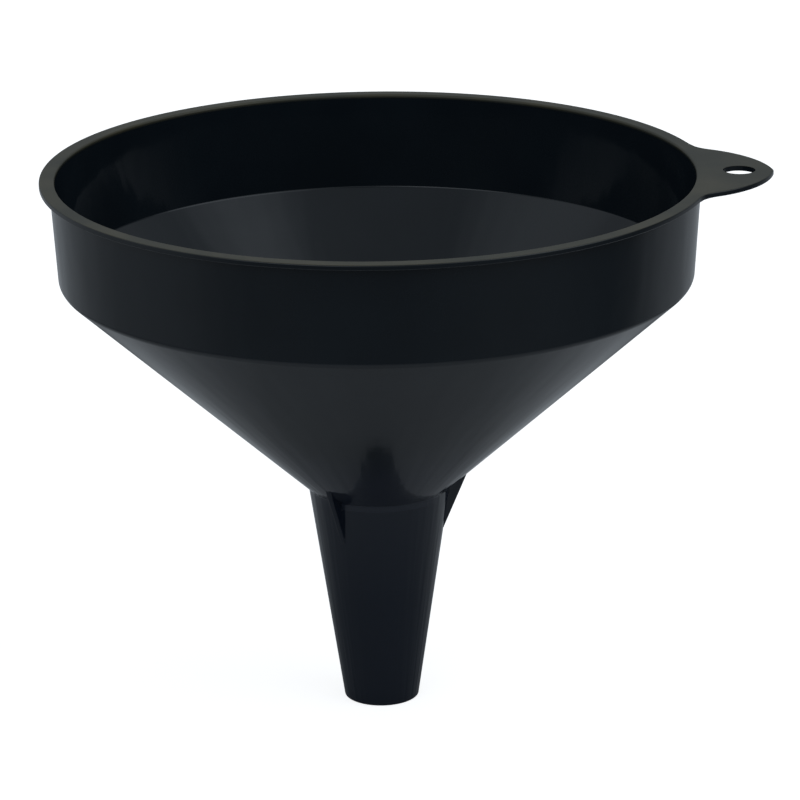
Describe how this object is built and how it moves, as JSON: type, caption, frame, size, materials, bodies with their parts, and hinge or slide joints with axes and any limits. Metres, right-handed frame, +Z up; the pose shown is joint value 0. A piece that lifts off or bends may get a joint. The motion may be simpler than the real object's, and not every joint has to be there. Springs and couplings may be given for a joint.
{
  "type": "funnel",
  "caption": "Wide-mouth plastic funnel with an upright collar, a tapered spout, air-vent ribs and a hanging tab with a round hole.",
  "frame": {"origin": "centre of the spout's outlet, on the funnel's axis", "axes": "+Z up the axis to the mouth, +X towards the hanging tab, +Y completes the right-handed frame"},
  "size_m": [0.273, 0.25, 0.209],
  "materials": {
    "lip": "satin black polyethylene, rubbed a little paler on the flat top",
    "bowl": "semi-gloss black polyethylene, as it comes from a polished mould",
    "spout": "semi-gloss blue-black polyethylene"
  },
  "bodies": {
    "root": {"rim_lip": "lip", "collar_wall": "bowl", "cone": "bowl", "spout": "spout", "vent_rib_1": "spout", "vent_rib_2": "spout", "vent_rib_3": "spout", "hang_tab": "lip"}
  },
  "joints": []
}
